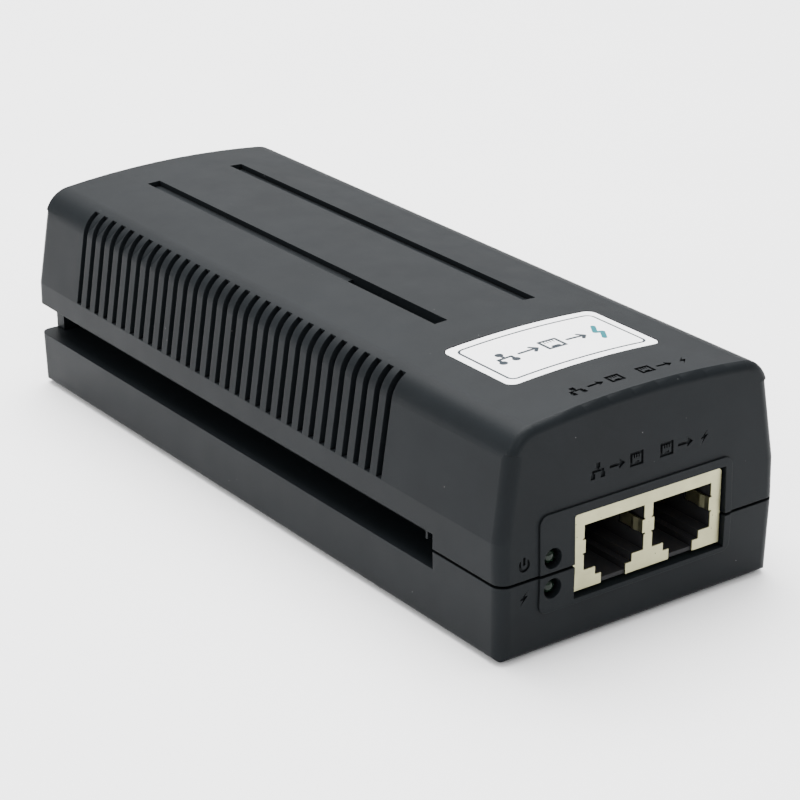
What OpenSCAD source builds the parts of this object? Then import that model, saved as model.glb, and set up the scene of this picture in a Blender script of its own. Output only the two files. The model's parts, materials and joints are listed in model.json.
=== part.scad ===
// Single-port PoE injector: a desktop mains brick that adds power to an Ethernet line.
// Frame: origin at the middle of the resting face, +Z up, RJ45 sockets at -Y, mains inlet at +Y.

/* [Casing] */
// Width across the side faces
body_w = 57; // [54:0.5:62]
// Length from the socket face to the inlet face
body_l = 144; // [140:1:156]
// Height of the closed casing, without its feet
body_h = 39.1; // [38:0.1:42]
// Height of the parting line above the casing's underside
seam_h = 13; // [12.5:0.1:13.5]
// Height where the upright side band ends and the sides lean in
band_h = 20; // [19:0.5:21]
// Lean of the upper side faces
side_draft = 9; // [7:0.5:10]
// Lean of the upper socket face
front_draft = 1.8; // [1:0.1:2.5]
// Lean of the upper inlet face
rear_draft = 1.2; // [0.8:0.1:2]
// How far every lower wall tapers in at the underside
base_taper = 0.3; // [0.2:0.05:0.5]
// Radius of the long shoulders
shoulder_r = 5.6; // [4.5:0.1:6]
// Radius of the crowned top
crown_r = 190; // [150:5:240]
// Radius of the four upright corners
corner_r = 2.2; // [1.8:0.1:2.6]
// Radius where the end faces meet the top
end_r = 1.6; // [1.2:0.1:1.8]
// Radius around the underside
base_r = 0.8; // [0.5:0.1:1]
// Wall thickness of both shells
wall = 2; // [1.8:0.1:2.2]

/* [Side channels] */
// Height of a channel's lower lip above the casing's underside
channel_lo = 9.7; // [9.4:0.1:10]
// Height of a channel's upper lip above the casing's underside
channel_hi = 15.8; // [15.5:0.1:16.2]
// Depth of the channel where it leaves the inlet face
channel_mouth = 4; // [3.5:0.1:4.2]
// Depth of the channel along the rest of its run
channel_deep = 7.1; // [6.5:0.1:7.2]
// Distance from the socket face to the closed end of a channel
channel_start = 17; // [15:0.5:20]

/* [Vents and top grooves] */
// Slots in each side
vent_count = 31; // [21:1:31]
// Distance between neighbouring slots
vent_pitch = 3.2; // [2.8:0.1:3.2]
// Width of a slot
vent_w = 1.45; // [1.2:0.05:1.6]
// Place of the rearmost slot along the casing
vent_rear = 55.4; // [52:0.2:56]
// Width of the two top grooves
groove_w = 2.6; // [2:0.1:3]
// Depth of the top grooves
groove_d = 1; // [0.6:0.1:1.2]

/* [Sockets and lamps] */
// Width of the two-port socket block
jack_w = 30.4; // [30:0.1:31]
// Height of the socket block
jack_h = 13.1; // [13:0.1:13.4]
// Depth of the socket block
jack_d = 21; // [20:0.5:22]
// Distance between the two sockets
jack_pitch = 13.97; // [13.97:0.01:13.97]
// Width of a socket's mouth
port_w = 12.2; // [11.9:0.1:12.3]
// How far the panel round the sockets and lamps stands out, and the inlet's rim at the other end
panel_proud = 0.3; // [0.2:0.05:0.4]
// Diameter of a lamp's lens
lamp_d = 3; // [2.8:0.1:3]
// Distance between the two lamps
lamp_pitch = 5.08; // [5.08:0.01:5.08]

/* [Circuit board] */
// Width of the board
board_w = 49; // [47:0.5:49]
// Thickness of the board
board_t = 1.6; // [1.5:0.1:1.6]

/* [Feet] */
// How far the rubber feet lift the casing
foot_proud = 0.8; // [0.6:0.1:1]
// Diameter of a foot
foot_d = 9; // [8:0.5:10]

/* [Hidden] */
$fn = 48;
tiny = 0.01;
half_w = body_w / 2;
half_l = body_l / 2;

// Levels, all measured from the resting face
base_z = foot_proud;
seam_z = base_z + seam_h;
band_z = base_z + band_h;
top_z = base_z + body_h;
lip_lo_z = base_z + channel_lo;
lip_hi_z = base_z + channel_hi;
seam_gap = 0.5;
lower_top_z = seam_z - seam_gap / 2;
upper_foot_z = seam_z + seam_gap / 2;
board_z = base_z + 6.4;
deck_z = board_z + board_t;

// Centre of a shoulder arc: it touches the leaning side and the crown
crown_z = top_z - crown_r;
lean_x = cos(side_draft);
lean_z = sin(side_draft);
rail_x = half_w - shoulder_r * lean_x;
rail_z = band_z - shoulder_r * lean_z;
along = -rail_x * lean_z + (rail_z - crown_z) * lean_x;
excess = rail_x * rail_x + pow(rail_z - crown_z, 2) - pow(crown_r - shoulder_r, 2);
run = -along + sqrt(along * along - excess);
arc_x = rail_x - run * lean_z;
arc_z = rail_z + run * lean_x;
arc_end = atan2(arc_z - crown_z, arc_x);

// Centre and side touching point of the round at a lower corner, for a half width at the base
base_slope = atan(base_taper / seam_h);
function base_centre(half) = [half + base_r * tan(base_slope) - base_r / cos(base_slope), base_z + base_r];
function base_touch(half) = base_centre(half) + base_r * [cos(base_slope), -sin(base_slope)];

// Outline of the casing across its width, drawn as x and z, shrunk by inset all round.
// The lower corners are only rounded on the outside.
module casing_outline(inset = 0) {
    reach = shoulder_r + 6;
    foot = base_centre(half_w - base_taper);
    foot_side = base_touch(half_w - base_taper);
    side_x = half_w - inset;
    kink_z = band_z - inset * tan(side_draft / 2);
    touch = [arc_x + (shoulder_r - inset) * lean_x, arc_z + (shoulder_r - inset) * lean_z];
    polygon([
        [-foot[0], base_z], [foot[0], base_z], foot, foot_side - [inset, 0], [side_x, seam_z],
        [side_x, kink_z], touch, [arc_x, arc_z], [-arc_x, arc_z], [-touch[0], touch[1]],
        [-side_x, kink_z], [-side_x, seam_z], [inset - foot_side[0], foot_side[1]], [-foot[0], foot[1]]
    ]);
    if (inset == 0)
        for (side = [-1, 1])
            translate([side * foot[0], foot[1]])
                circle(base_r);
    for (side = [-1, 1])
        translate([side * arc_x, arc_z])
            circle(shoulder_r - inset + (inset > 0 ? 0.005 : 0));
    intersection() {
        translate([0, crown_z])
            circle(crown_r - inset, $fn = 256);
        polygon([
            [-arc_x, arc_z], [arc_x, arc_z],
            [arc_x + reach * cos(arc_end), arc_z + reach * sin(arc_end)],
            [-arc_x - reach * cos(arc_end), arc_z + reach * sin(arc_end)]
        ]);
    }
}

// Outline of the casing along its length, drawn as y and z
module length_outline() {
    rise = top_z + 2 - seam_z;
    foot = base_centre(half_l - base_taper);
    foot_side = base_touch(half_l - base_taper);
    polygon([
        [-foot[0], base_z], [foot[0], base_z], foot, foot_side, [half_l, seam_z],
        [half_l - rise * tan(rear_draft), seam_z + rise],
        [-half_l + rise * tan(front_draft), seam_z + rise], [-half_l, seam_z],
        [-foot_side[0], foot_side[1]], [-foot[0], foot[1]]
    ]);
    for (side = [-1, 1])
        translate([side * foot[0], foot[1]])
            circle(base_r);
}

// What a round of radius r takes off an edge whose faces point along 0 degrees and along turn
module edge_section(r, turn) {
    away = 1;
    a = [1, 0];
    b = [cos(turn), sin(turn)];
    centre = -(a + b) * r / (1 + a * b);
    difference() {
        polygon([
            centre, centre + a * r, centre + a * (r + away), (a + b) * away,
            centre + b * (r + away), centre + b * r
        ]);
        translate(centre)
            circle(r);
    }
}

// Rounds the straight edge through p between faces with outward normals n1 and n2
module round_edge(p, n1, n2, r, back, ahead) {
    u = cross(n1, n2) / norm(cross(n1, n2));
    v = cross(u, n1);
    turn = atan2(n2 * v, n2 * n1);
    multmatrix([
        [n1[0], v[0], u[0], p[0]], [n1[1], v[1], u[1], p[1]], [n1[2], v[2], u[2], p[2]], [0, 0, 0, 1]
    ])
        translate([0, 0, -back])
            linear_extrude(back + ahead)
                edge_section(r, turn);
}

// Rounds the curved top edge of one end face; end is -1 at the sockets and 1 at the inlet
module round_arc(end, x, z, radius, from, sweep) {
    draft = end < 0 ? front_draft : rear_draft;
    // the tilted round has to clear the top all along, so it starts a little outside,
    // and the crown's a hair further, so that it crosses the shoulders' cleanly
    clear = radius > shoulder_r ? 0.05 : 0.03;
    ease = end_r * tan(draft) + radius * (1 / cos(draft) - 1) + clear;
    y = end * (half_l - (z - seam_z) * tan(draft));
    translate([x, y, z])
        rotate([end * draft, 0, 0])
            facing(end)
                rotate([90, 0, 0])
                    rotate_extrude(angle = sweep, start = from)
                        translate([radius + ease, 0])
                            edge_section(end_r, 90);
}

// Mirrors its children front to back when end is 1
module facing(end) {
    if (end > 0)
        mirror([0, 1, 0]) children();
    else
        children();
}

// The closed block of the casing above the parting line, with its rounds
module upper_block() {
    difference() {
        intersection() {
            rotate([90, 0, 0])
                linear_extrude(body_l + 4, center = true)
                    casing_outline();
            rotate([90, 0, 90])
                linear_extrude(body_w + 4, center = true)
                    length_outline();
            translate([-body_w, -body_l, upper_foot_z])
                cube([2 * body_w, 2 * body_l, body_h]);
        }
        for (side = [-1, 1])
            for (end = [-1, 1]) {
                draft = end < 0 ? front_draft : rear_draft;
                face = [0, end * cos(draft), sin(draft)];
                band_y = end * (half_l - (band_z - seam_z) * tan(draft));
                flip = side * end;
                round_edge([side * half_w, end * half_l, seam_z], [side, 0, 0], face, corner_r,
                    flip > 0 ? 1 : band_z - seam_z, flip > 0 ? band_z - seam_z : 1);
                round_edge([side * half_w, band_y, band_z], [side * lean_x, 0, lean_z], face, corner_r,
                    flip > 0 ? 1 : run + 1, flip > 0 ? run + 1 : 1);
            }
        for (end = [-1, 1]) {
            round_arc(end, arc_x, arc_z, shoulder_r, side_draft, arc_end - side_draft);
            round_arc(end, -arc_x, arc_z, shoulder_r, 180 - arc_end, arc_end - side_draft);
            round_arc(end, 0, crown_z, crown_r, arc_end, 180 - 2 * arc_end);
        }
    }
}

// The closed block of the casing below the parting line, with its rounds
module lower_block() {
    low_w = half_w - base_taper;
    low_l = half_l - base_taper;
    difference() {
        intersection() {
            rotate([90, 0, 0])
                linear_extrude(body_l + 4, center = true)
                    casing_outline();
            rotate([90, 0, 90])
                linear_extrude(body_w + 4, center = true)
                    length_outline();
            translate([-body_w, -body_l, 0])
                cube([2 * body_w, 2 * body_l, lower_top_z]);
        }
        for (side = [-1, 1])
            for (end = [-1, 1])
                round_edge([side * half_w, end * half_l, seam_z],
                    [side * cos(base_slope), 0, -sin(base_slope)], [0, end * cos(base_slope), -sin(base_slope)],
                    corner_r, seam_h + 2, seam_h + 2);
    }
}

// Shared cut-outs ------------------------------------------------------------

end_wall = 2.5;
jacket_t = 1.5;
channel_y = -half_l + channel_start;
mouth_wall = 2.8;

// The two open channels along the sides
module channels() {
    height = lip_hi_z - lip_lo_z;
    for (side = [0, 1])
        mirror([side, 0, 0]) {
            translate([half_w - channel_deep, channel_y, lip_lo_z])
                cube([channel_deep + 5, half_l - mouth_wall - channel_y, height]);
            translate([half_w - channel_mouth, channel_y, lip_lo_z])
                cube([channel_mouth + 5, body_l, height]);
        }
}

// The walls that close the channels off from the inside
module channel_jackets() {
    for (side = [0, 1])
        mirror([side, 0, 0])
            translate([half_w - channel_deep - jacket_t, channel_y - jacket_t, lip_lo_z - jacket_t])
                cube([channel_deep + 10, body_l, lip_hi_z - lip_lo_z + 2 * jacket_t]);
}

// Rectangle with rounded corners, about its centre
module rounded_rect(w, h, r) {
    square([w, h - 2 * r], center = true);
    square([w - 2 * r, h], center = true);
    for (x = [-1, 1])
        for (y = [-1, 1])
            translate([x * (w / 2 - r), y * (h / 2 - r)])
                circle(r);
}

// Places a drawing of x and height above the parting line on the socket face, sunk by depth.
// slope is the face's lean, positive above the parting line and negative below it.
module on_socket_face(depth, slope) {
    translate([0, -half_l, seam_z])
        rotate([90 - slope, 0, 0])
            translate([0, 0, -depth])
                linear_extrude(5)
                    children();
}

// Case screws: two beside the sockets and two beside the inlet
front_boss = [22.8, -60.3];
rear_boss = [17, 60];
boss_r = 2.6;
screw_r = 1.15;
screw_head_r = 2.2;
screw_head_h = 1.8;
head_seat_z = base_z + 4.5;

module at_case_screws() {
    for (side = [-1, 1])
        for (spot = [front_boss, rear_boss])
            translate([side * spot[0], spot[1], 0])
                children();
}

// Board screws, on posts that rise from the floor
post_r = 2.6;
board_spots = [[-17, -45.5], [18, -45.5], [-17, 33], [17, 33]];

module at_board_screws() {
    for (spot = board_spots)
        translate([spot[0], spot[1], 0])
            children();
}

// Sockets ---------------------------------------------------------------------

jack_x = 1.5;
jack_y = -half_l + 0.6;
jack_top_z = deck_z + jack_h;
sheet = 0.25;
port_x = [jack_x - jack_pitch / 2, jack_x + jack_pitch / 2];
port_low_z = deck_z + 3.2;
port_high_z = deck_z + 10.95;
latch_step_z = deck_z + 1.8;
latch_wide = 7.5;
latch_narrow = 5;
finger_low_z = deck_z + 5.85;
finger_high_z = deck_z + 8.4;

// Mouth of one socket, drawn as x and z; the latch's notch runs down to floor_z
module port_outline(floor_z) {
    translate([-port_w / 2, port_low_z])
        square([port_w, port_high_z - port_low_z]);
    translate([-latch_wide / 2, latch_step_z])
        square([latch_wide, port_low_z - latch_step_z + 1]);
    translate([-latch_narrow / 2, floor_z])
        square([latch_narrow, port_low_z - floor_z + 1]);
}

// Raises a drawing of x and z from the plane y, towards the inlet, by depth
module upright(y, depth) {
    translate([0, y + depth, 0])
        rotate([90, 0, 0])
            linear_extrude(depth)
                children();
}

// Gap round the sockets in the casing: tight above and beside, wider below
module jack_opening() {
    side_gap = 0.35;
    upright(-half_l - 3, 8)
        translate([jack_x - jack_w / 2 - side_gap, deck_z - 0.75])
            square([jack_w + 2 * side_gap, jack_h + 0.75 + side_gap]);
}

// Lamps -----------------------------------------------------------------------

lamp_x = -18.4;
lamp_z = [seam_z + lamp_pitch / 2, seam_z - lamp_pitch / 2];
lamp_hole_r = lamp_d / 2 + 0.2;

module lamp_holes() {
    for (z = lamp_z)
        translate([lamp_x, -half_l - 1, z])
            rotate([-90, 0, 0])
                cylinder(r = lamp_hole_r, h = 6);
}

// Raised panel round the lamps and sockets
panel_left = -20.9;
panel_right = 18.4;
panel_top = 10;
panel_bottom = -6.6;
panel_root = 0.8;

module panel_outline() {
    translate([(panel_left + panel_right) / 2, (panel_top + panel_bottom) / 2])
        rounded_rect(panel_right - panel_left, panel_top - panel_bottom, 1.6);
}

// The part of the raised panel between two levels, on a face that leans by slope
module panel_pad(slope, z0, z1) {
    intersection() {
        translate([0, 0, z0])
            linear_extrude(z1 - z0)
                square([body_w, body_l + 4], center = true);
        translate([0, -half_l, seam_z])
            rotate([90 - slope, 0, 0])
                translate([0, 0, -panel_root])
                    linear_extrude(panel_root + panel_proud)
                        panel_outline();
    }
}

// Mains inlet -----------------------------------------------------------------

inlet_w = 27;
inlet_h = 19.8;
inlet_d = 20;
inlet_z = deck_z + 0.5 + inlet_h / 2;
inlet_face_y = half_l + panel_proud;
cup_w = 24.2;
cup_h = 16.5;
cup_d = 15.5;
cup_bevel = 4;
flange = 1.2;

module inlet_opening() {
    upright(half_l - 6, 10)
        translate([-inlet_w / 2 - 0.2, inlet_z - inlet_h / 2 - 0.2])
            square([inlet_w + 0.4, inlet_h + 0.4]);
}

// Pictograms, all drawn about their own middle --------------------------------

stroke = 0.48;
glyph_h = 2.6;

module glyph_bolt() {
    polygon([
        [0.35, 0.5] * glyph_h, [-0.3, -0.08] * glyph_h, [-0.02, -0.08] * glyph_h,
        [-0.28, -0.5] * glyph_h, [0.32, 0.12] * glyph_h, [0.04, 0.12] * glyph_h
    ]);
}

module glyph_arrow() {
    translate([-0.6 * glyph_h, -stroke / 2])
        square([0.8 * glyph_h, stroke]);
    polygon([[0.15, 0.32] * glyph_h, [0.6, 0] * glyph_h, [0.15, -0.32] * glyph_h]);
}

module glyph_socket() {
    w = glyph_h * 1.05;
    h = glyph_h * 0.9;
    difference() {
        square([w, h], center = true);
        square([w - 2 * stroke, h - 2 * stroke], center = true);
    }
    for (x = [-0.18, 0, 0.18])
        translate([x * glyph_h - stroke / 4, h / 2 - stroke - 0.55])
            square([stroke / 2, 0.56]);
    translate([-0.18 * glyph_h, -h / 2])
        square([0.36 * glyph_h, stroke * 1.6]);
}

module glyph_network() {
    box = 0.34 * glyph_h;
    translate([0, 0.33 * glyph_h])
        square(box, center = true);
    for (x = [-1, 1])
        translate([x * 0.38 * glyph_h, -0.33 * glyph_h])
            square(box, center = true);
    square([0.76 * glyph_h + stroke, stroke * 0.8], center = true);
    translate([-stroke / 2, 0])
        square([stroke, 0.3 * glyph_h]);
    for (x = [-1, 1])
        translate([x * 0.38 * glyph_h - stroke / 2, -0.3 * glyph_h])
            square([stroke, 0.3 * glyph_h]);
}

module glyph_power() {
    ring_r = 0.42 * glyph_h;
    difference() {
        circle(ring_r);
        circle(ring_r - stroke);
        translate([-stroke * 1.3, 0])
            square([stroke * 2.6, glyph_h]);
    }
    translate([-stroke / 2, 0])
        square([stroke, 0.5 * glyph_h]);
}

// Network into the left socket, power out of the right one
module port_glyphs() {
    step = 3.9;
    translate([port_x[0] - step, 0]) glyph_network();
    translate([port_x[0], 0]) glyph_arrow();
    translate([port_x[0] + step, 0]) glyph_socket();
    translate([port_x[1] - step, 0]) glyph_socket();
    translate([port_x[1], 0]) glyph_arrow();
    translate([port_x[1] + step, 0]) glyph_bolt();
}

engrave_d = 0.3;
face_glyph_up = 14.6;
top_glyph_y = -65.8;
lamp_glyph_x = -23.8;

// Between the crown and the same surface sunk by depth
module under_crown(depth) {
    intersection() {
        translate([0, 0, top_z - 5])
            linear_extrude(10)
                children();
        translate([0, 0, crown_z])
            rotate([90, 0, 0])
                difference() {
                    cylinder(r = crown_r + 3, h = body_l, center = true, $fn = 256);
                    cylinder(r = crown_r - depth, h = body_l + 2, center = true, $fn = 256);
                }
    }
}

// Top label, in a shallow pocket
label_w = 30.8;
label_l = 17.8;
label_y = -48.8;
label_x = -0.2;
label_t = 0.25;
label_sunk = 0.32;

module label_outline(gap = 0) {
    translate([label_x, label_y])
        rounded_rect(label_w + 2 * gap, label_l + 2 * gap, 1.6 + gap);
}

// Top grooves -----------------------------------------------------------------

groove_x = [-8.6, 9.8];
groove_near = -30.5;
groove_far = 60.2;
vent_near = -3.6;

module grooves() {
    under_crown(groove_d)
        for (x = groove_x)
            translate([x - groove_w / 2, groove_near])
                square([groove_w, groove_far - groove_near]);
    // the near part of the left groove is open to the inside
    translate([groove_x[0] - groove_w / 2, groove_near, top_z - 6])
        cube([groove_w, vent_near - groove_near, 8]);
}

// Side vents ------------------------------------------------------------------

vent_foot = band_z + 0.1;
vent_end = 60.7;

// What one pair of slots takes away, drawn as x and z on the right
module vent_outline() {
    polygon([
        [half_w - 4, vent_foot], [half_w + 3, vent_foot], [half_w + 3, arc_z + 10],
        [arc_x + 12 * cos(vent_end), arc_z + 12 * sin(vent_end)], [arc_x, arc_z]
    ]);
}

module vents() {
    for (i = [0 : vent_count - 1])
        for (side = [0, 1])
            mirror([side, 0, 0])
                upright(vent_rear - i * vent_pitch - vent_w / 2, vent_w)
                    vent_outline();
}

// Tongue on the lower shell that closes the parting line from inside
tongue_out = 1.05;
tongue_in = 1.85;
tongue_up = 1.2;
tongue_gap = 0.1;

module tongue_ring(outside, inside, z0, z1) {
    translate([0, 0, z0])
        linear_extrude(z1 - z0)
            difference() {
                rounded_rect(body_w - 2 * outside, body_l - 2 * outside, 1.2);
                rounded_rect(body_w - 2 * inside, body_l - 2 * inside, 0.8);
            }
}

module upper_shell() {
    color("#3a3d40")
        difference() {
            union() {
                difference() {
                    upper_block();
                    difference() {
                        rotate([90, 0, 0])
                            linear_extrude(body_l - 2 * end_wall, center = true)
                                casing_outline(wall);
                        channel_jackets();
                    }
                }
                panel_pad(front_draft, upper_foot_z, band_z + 5);
                intersection() {
                    at_case_screws()
                        translate([0, 0, upper_foot_z])
                            cylinder(r = boss_r, h = body_h);
                    rotate([90, 0, 0])
                        linear_extrude(body_l - 4, center = true)
                            casing_outline(wall / 2);
                }
            }
            at_case_screws()
                translate([0, 0, upper_foot_z - 1])
                    cylinder(r = screw_r, h = 13);
            channels();
            tongue_ring(tongue_out - tongue_gap, wall + 0.6, upper_foot_z - 1,
                upper_foot_z + tongue_up + tongue_gap);
            vents();
            grooves();
            under_crown(label_sunk)
                label_outline(0.12);
            under_crown(engrave_d)
                translate([0, top_glyph_y])
                    port_glyphs();
            on_socket_face(engrave_d, front_draft) {
                translate([0, face_glyph_up])
                    port_glyphs();
                translate([lamp_glyph_x, 2.8])
                    glyph_power();
            }
            jack_opening();
            lamp_holes();
            inlet_opening();
        }
    color("#3a3d40")
        channel_stops();
}

// A small stop under each channel's upper lip, near its closed end
module channel_stops() {
    for (side = [0, 1])
        mirror([side, 0, 0])
            translate([half_w - channel_mouth, channel_y + 2.2, lip_hi_z - 1.9])
                cube([channel_mouth - 0.7, 0.5, 2]);
}

module lower_shell() {
    floor_z = base_z + wall;
    color("#3a3d40")
        difference() {
            union() {
                difference() {
                    lower_block();
                    difference() {
                        translate([-half_w + wall, -half_l + end_wall, floor_z])
                            cube([body_w - 2 * wall, body_l - 2 * end_wall, seam_h]);
                        channel_jackets();
                    }
                }
                panel_pad(-base_slope, base_z + 1, lower_top_z);
                difference() {
                    tongue_ring(tongue_out, tongue_in, lower_top_z - 1.5, lower_top_z + tongue_up);
                    channel_jackets();
                }
                at_case_screws()
                    translate([0, 0, base_z + tiny])
                        cylinder(r = boss_r + 0.7, h = lower_top_z - base_z - tiny);
                at_board_screws()
                    translate([0, 0, base_z + tiny])
                        cylinder(r = post_r, h = board_z - base_z - tiny);
            }
            at_case_screws() {
                translate([0, 0, -1])
                    cylinder(r = screw_r + 0.25, h = body_h);
                translate([0, 0, -1])
                    cylinder(r = screw_head_r + 0.3, h = head_seat_z + 1);
            }
            at_board_screws()
                translate([0, 0, floor_z])
                    cylinder(r = 0.9, h = 10);
            channels();
            on_socket_face(engrave_d, -base_slope)
                translate([lamp_glyph_x, -2.8])
                    glyph_bolt();
            jack_opening();
            lamp_holes();
            inlet_opening();
            foot_pockets();
            translate([0, rating_y, 0])
                linear_extrude(base_z + 0.2)
                    rounded_rect(rating_w + 0.3, rating_l + 0.3, 1.6);
        }
}

// Underside -------------------------------------------------------------------

foot_spot = [20.5, 50];
foot_sunk = 0.7;
rating_w = 40;
rating_l = 62;
rating_y = 4;

module at_feet() {
    for (x = [-1, 1])
        for (y = [-1, 1])
            translate([x * foot_spot[0], y * foot_spot[1], 0])
                children();
}

module foot_pockets() {
    at_feet()
        translate([0, 0, -1])
            cylinder(d = foot_d + 0.3, h = 1 + base_z + foot_sunk);
}

module rubber_feet() {
    color("#17181a")
        at_feet()
            rotate_extrude()
                union() {
                    translate([0, 0.4])
                        square([foot_d / 2, base_z + foot_sunk - 0.4]);
                    square([foot_d / 2 - 0.4, 1]);
                    translate([foot_d / 2 - 0.4, 0.4])
                        circle(0.4);
                }
}

module rating_label() {
    color("#c9cbcc")
        translate([0, rating_y, base_z + 0.05])
            linear_extrude(0.15)
                rounded_rect(rating_w, rating_l, 1.5);
}

module top_label() {
    color("white")
        intersection() {
            translate([0, 0, top_z - 5])
                linear_extrude(10)
                    label_outline();
            translate([0, 0, crown_z])
                rotate([90, 0, 0])
                    difference() {
                        cylinder(r = crown_r - label_sunk + label_t, h = body_l, center = true, $fn = 256);
                        cylinder(r = crown_r - label_sunk, h = body_l + 2, center = true, $fn = 256);
                    }
        }
}

// Sockets ---------------------------------------------------------------------

// Sheet outline of the socket shield in x and z, shrunk by inset, open towards the board
module shield_outline(inset = 0) {
    half = jack_w / 2 - inset;
    bevel = 0.55;
    top = deck_z + jack_h - inset;
    translate([jack_x, 0])
        polygon([
            [-half, deck_z - (inset > 0 ? 1 : 0)], [half, deck_z - (inset > 0 ? 1 : 0)], [half, top - bevel],
            [half - bevel, top], [-half + bevel, top], [-half, top - bevel]
        ]);
}

finger_l = 5.5;
finger_proud = 0.3;
finger_slit = 0.3;
finger_h = finger_high_z - finger_low_z;

// Spots of the earth fingers, on both flanks of each socket, at the lower slit of each
module at_fingers() {
    for (x = port_x)
        for (side = [0, 1])
            translate([x, 0, finger_low_z])
                mirror([side, 0, 0])
                    translate([port_w / 2, 0, 0])
                        children();
}

// One finger: a strip folded back from the face, with a bump that presses on the plug
module finger() {
    bump_y = 2;
    half_bump = 0.9;
    translate([-finger_proud, 0, finger_slit])
        cube([finger_proud + sheet, sheet, finger_h - finger_slit]);
    translate([0, 0, finger_slit])
        linear_extrude(finger_h - finger_slit)
            polygon([
                [-finger_proud, 0], [-finger_proud, bump_y - half_bump], [-finger_proud - 0.25, bump_y],
                [-finger_proud, bump_y + half_bump], [-finger_proud, finger_l],
                [-finger_proud + sheet, finger_l], [-finger_proud + sheet, 0]
            ]);
}

module jack_shield() {
    color("#b9b2a6") {
        difference() {
            upright(jack_y, jack_d)
                shield_outline();
            upright(jack_y + sheet, jack_d - 2 * sheet)
                shield_outline(sheet);
            for (x = port_x)
                translate([x, 0, 0])
                    upright(jack_y - 1, 2)
                        port_outline(deck_z - 1);
            at_fingers()
                for (z = [0, finger_h])
                    translate([-1, jack_y - 1, z])
                        cube([1 + sheet, 2, finger_slit]);
            // the back plate stops above the contact tails
            translate([jack_x - jack_w / 2 + 1, jack_y + jack_d - 1, deck_z - 1])
                cube([jack_w - 2, 2, 4]);
            // windows in the flanks
            translate([jack_x - jack_w, jack_y + 8, finger_low_z])
                cube([2 * jack_w, 4, finger_h]);
        }
        at_fingers()
            translate([0, jack_y, 0])
                finger();
    }
}

wire_w = 0.46;
wire_t = 0.3;
wire_pitch = 1.02;
wire_count = 8;
insert_d = 18.4;
cavity_d = 14.2;
slot_top_z = deck_z + 11.9;
bend_y = jack_y + 2.5;
bend_z = port_high_z + 0.02;
arm_l = 8;
arm_slope = 22;

// Spots of the contact wires of the socket centred on x
module at_wires(x) {
    for (i = [0 : wire_count - 1])
        translate([x + (i - (wire_count - 1) / 2) * wire_pitch, 0, 0])
            children();
}

module jack_insert() {
    clear = 0.1;
    color("#141517")
        difference() {
            upright(jack_y + sheet + clear, insert_d)
                intersection() {
                    shield_outline(sheet + clear);
                    translate([-body_w, deck_z])
                        square([2 * body_w, jack_h]);
                }
            for (x = port_x) {
                translate([x, 0, 0])
                    upright(jack_y - 1, cavity_d + 1)
                        port_outline(deck_z + 0.7);
                at_wires(x)
                    translate([-wire_w / 2 - clear, jack_y + 1.6, port_high_z - 1])
                        cube([wire_w + 2 * clear, insert_d, slot_top_z - port_high_z + 1]);
            }
            at_fingers()
                translate([-1, jack_y - 1, 0])
                    cube([1.3, finger_l + 1.8, finger_h + finger_slit]);
        }
}

module contact_legs() {
    drop_y = jack_y + insert_d + 0.7;
    rail_top = slot_top_z - 0.1;
    color("#c9a24a")
        for (x = port_x)
            at_wires(x) {
                translate([-wire_w / 2, bend_y, rail_top - wire_t])
                    cube([wire_w, drop_y - bend_y, wire_t]);
                translate([-wire_w / 2, drop_y - wire_t, deck_z])
                    cube([wire_w, wire_t, rail_top - deck_z]);
            }
}

// Sprung ends of the contact wires of one socket
module contact_arms(x) {
    at_wires(x)
        translate([0, bend_y, bend_z])
            rotate([-arm_slope, 0, 0]) {
                translate([-wire_w / 2, 0, -wire_t / 2])
                    cube([wire_w, arm_l, wire_t]);
                rotate([0, 90, 0])
                    cylinder(r = 0.28, h = wire_w, center = true);
                translate([0, arm_l, 0])
                    rotate([0, 90, 0])
                        cylinder(r = wire_t / 2, h = wire_w, center = true);
            }
}

module data_in_contacts() {
    color("#d4af55")
        contact_arms(port_x[0]);
}

module poe_out_contacts() {
    color("#d4af55")
        contact_arms(port_x[1]);
}

// Lamps -----------------------------------------------------------------------

holder_y = -half_l + end_wall + 0.2;
holder_d = 4.6;
lens_tip_y = -half_l + 0.3;

module lamp_holder() {
    width = 4.4;
    color("#1d1e20")
        difference() {
            translate([lamp_x - width / 2, holder_y, deck_z])
                cube([width, holder_d, lamp_z[0] + 2.6 - deck_z]);
            for (z = lamp_z)
                translate([lamp_x, holder_y - 1, z])
                    rotate([-90, 0, 0])
                        cylinder(d = lamp_d + 0.1, h = holder_d + 2);
        }
}

// One lamp: domed lens with its two leads bent down to the board
module lamp(z) {
    lens_l = 5.6;
    lead = 0.5;
    lead_y = holder_y + holder_d + (z > seam_z ? 0.9 : 0.2);
    translate([lamp_x, lens_tip_y, z])
        rotate([-90, 0, 0])
            rotate_extrude()
                intersection() {
                    union() {
                        translate([0, lamp_d / 2])
                            circle(d = lamp_d);
                        translate([0, lamp_d / 2])
                            square([lamp_d / 2, lens_l - lamp_d / 2]);
                    }
                    square([lamp_d, lens_l]);
                }
    for (side = [-1, 1])
        translate([lamp_x + side * 0.9 - lead / 2, 0, 0]) {
            translate([0, lens_tip_y + lens_l - 0.2, z - lead / 2])
                cube([lead, lead_y + lead - lens_tip_y - lens_l + 0.2, lead]);
            translate([0, lead_y, deck_z])
                cube([lead, lead, z + lead / 2 - deck_z]);
        }
}

module power_lamp() {
    color("#7fae86")
        lamp(lamp_z[0]);
}

module poe_lamp() {
    color("#7fae86")
        lamp(lamp_z[1]);
}

// Board -----------------------------------------------------------------------

board_near = -half_l + end_wall + 0.3;
board_far = half_l - end_wall - 0.5;

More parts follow.
